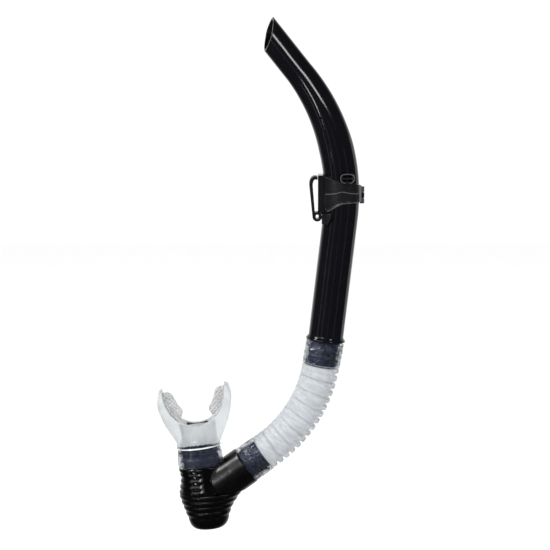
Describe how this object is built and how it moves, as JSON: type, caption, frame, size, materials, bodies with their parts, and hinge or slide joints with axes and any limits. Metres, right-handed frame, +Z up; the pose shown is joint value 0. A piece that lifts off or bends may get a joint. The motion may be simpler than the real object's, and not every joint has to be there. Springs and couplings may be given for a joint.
{
  "type": "snorkel",
  "caption": "Curved snorkel: bent barrel with strap keeper, ribbed flexible hose, and a Y-shaped chamber with a two-tab mouthpiece and a ribbed purge cup.",
  "frame": {"origin": "middle of the keeper's flat strap face, at the height of the barrel bend's centre of curvature", "axes": "+Z up along the standing snorkel, +X from the strap face to the barrel, the bends lie in the XZ plane, -Y is the side with the keeper's boss"},
  "size_m": [0.1671, 0.0416, 0.4132],
  "materials": {
    "gloss_black": "glossy moulded plastic",
    "satin_black": "satin moulded plastic",
    "ribbed_black": "satin rubber",
    "navy_plastic": "dark plastic seen through clear silicone",
    "clear_silicone": "clear silicone",
    "milky_silicone": "milky translucent silicone",
    "valve_silicone": "soft matt silicone",
    "steel": "ground pin"
  },
  "bodies": {
    "keeper": {"keeper_clamp": "satin_black", "keeper_hinge_pin": "steel", "keeper_grip_tongue": "ribbed_black"},
    "keeper_band": {"keeper_rear_band": "satin_black"},
    "keeper_gate": {"keeper_gate": "satin_black"},
    "barrel": {"barrel": "gloss_black", "barrel_connector": "navy_plastic"},
    "hose_top": {"hose_upper_cuff": "clear_silicone"},
    "hose_1": {"hose_ring_1": "milky_silicone"},
    "hose_2": {"hose_ring_2": "milky_silicone"},
    "hose_3": {"hose_ring_3": "milky_silicone"},
    "hose_4": {"hose_ring_4": "milky_silicone"},
    "hose_5": {"hose_ring_5": "milky_silicone"},
    "hose_6": {"hose_ring_6": "milky_silicone"},
    "hose_7": {"hose_ring_7": "milky_silicone"},
    "hose_bottom": {"hose_lower_cuff": "clear_silicone"},
    "chamber": {"chamber_body": "gloss_black", "neck_connector": "navy_plastic", "mouthpiece_connector": "navy_plastic", "mouthpiece": "clear_silicone", "mouthpiece_band": "clear_silicone", "purge_cap": "ribbed_black", "purge_seat": "satin_black", "purge_seal": "valve_silicone"},
    "purge_valve": {"purge_valve": "valve_silicone"}
  },
  "joints": [
    {"name": "keeper_band_hinge", "type": "hinge", "parent": "keeper", "child": "keeper_band", "pos_m": [0.0352, 0, 0], "axis": [0, 0, -1], "range_deg": [0, 60]},
    {"name": "keeper_gate_flex", "type": "hinge", "parent": "keeper", "child": "keeper_gate", "pos_m": [-0.0005, 0, -0.017], "axis": [0, -1, 0], "range_deg": [0, 30], "stiffness_Nm_per_rad": 0.3, "springref_deg": -2.86},
    {"name": "barrel_slide", "type": "hinge", "parent": "keeper", "child": "barrel", "pos_m": [-0.1379, 0, 0], "axis": [0, -1, 0], "range_deg": [-6, 1]},
    {"name": "hose_swivel", "type": "hinge", "parent": "barrel", "child": "hose_top", "pos_m": [0.00643, 0, -0.11704], "axis": [0.1736, 0, 0.9848], "range_deg": [-90, 90]},
    {"name": "hose_bend_1", "type": "hinge", "parent": "hose_top", "child": "hose_1", "pos_m": [0.00193, 0, -0.14255], "axis": [0, 1, 0], "range_deg": [-5, 3], "stiffness_Nm_per_rad": 5},
    {"name": "hose_bend_2", "type": "hinge", "parent": "hose_1", "child": "hose_2", "pos_m": [-0.00094, 0, -0.15325], "axis": [0, 1, 0], "range_deg": [-5, 3], "stiffness_Nm_per_rad": 5},
    {"name": "hose_bend_3", "type": "hinge", "parent": "hose_2", "child": "hose_3", "pos_m": [-0.00491, 0, -0.1636], "axis": [0, 1, 0], "range_deg": [-5, 3], "stiffness_Nm_per_rad": 5},
    {"name": "hose_bend_4", "type": "hinge", "parent": "hose_3", "child": "hose_4", "pos_m": [-0.00994, 0, -0.17348], "axis": [0, 1, 0], "range_deg": [-5, 3], "stiffness_Nm_per_rad": 5},
    {"name": "hose_bend_5", "type": "hinge", "parent": "hose_4", "child": "hose_5", "pos_m": [-0.01598, 0, -0.18277], "axis": [0, 1, 0], "range_deg": [-5, 3], "stiffness_Nm_per_rad": 5},
    {"name": "hose_bend_6", "type": "hinge", "parent": "hose_5", "child": "hose_6", "pos_m": [-0.02295, 0, -0.19139], "axis": [0, 1, 0], "range_deg": [-5, 3], "stiffness_Nm_per_rad": 5},
    {"name": "hose_bend_7", "type": "hinge", "parent": "hose_6", "child": "hose_7", "pos_m": [-0.03079, 0, -0.19923], "axis": [0, 1, 0], "range_deg": [-5, 3], "stiffness_Nm_per_rad": 5},
    {"name": "hose_bend_8", "type": "hinge", "parent": "hose_7", "child": "hose_bottom", "pos_m": [-0.03941, 0, -0.2062], "axis": [0, 1, 0], "range_deg": [-5, 3], "stiffness_Nm_per_rad": 5},
    {"name": "chamber_swivel", "type": "hinge", "parent": "hose_bottom", "child": "chamber", "pos_m": [-0.0572, 0, -0.21913], "axis": [0.809, 0, 0.5878], "range_deg": [-60, 60]},
    {"name": "purge_valve_lift", "type": "slide", "parent": "chamber", "child": "purge_valve", "axis": [0.0715, 0, -0.9974], "range_m": [0, 0.0014], "stiffness_N_per_m": 60, "springref_m": -0.0008}
  ],
  "couplings": [
    {"joint": "hose_bend_2", "follows": "hose_bend_1", "ratio": 1},
    {"joint": "hose_bend_3", "follows": "hose_bend_1", "ratio": 1},
    {"joint": "hose_bend_4", "follows": "hose_bend_1", "ratio": 1},
    {"joint": "hose_bend_5", "follows": "hose_bend_1", "ratio": 1},
    {"joint": "hose_bend_6", "follows": "hose_bend_1", "ratio": 1},
    {"joint": "hose_bend_7", "follows": "hose_bend_1", "ratio": 1},
    {"joint": "hose_bend_8", "follows": "hose_bend_1", "ratio": 1}
  ]
}
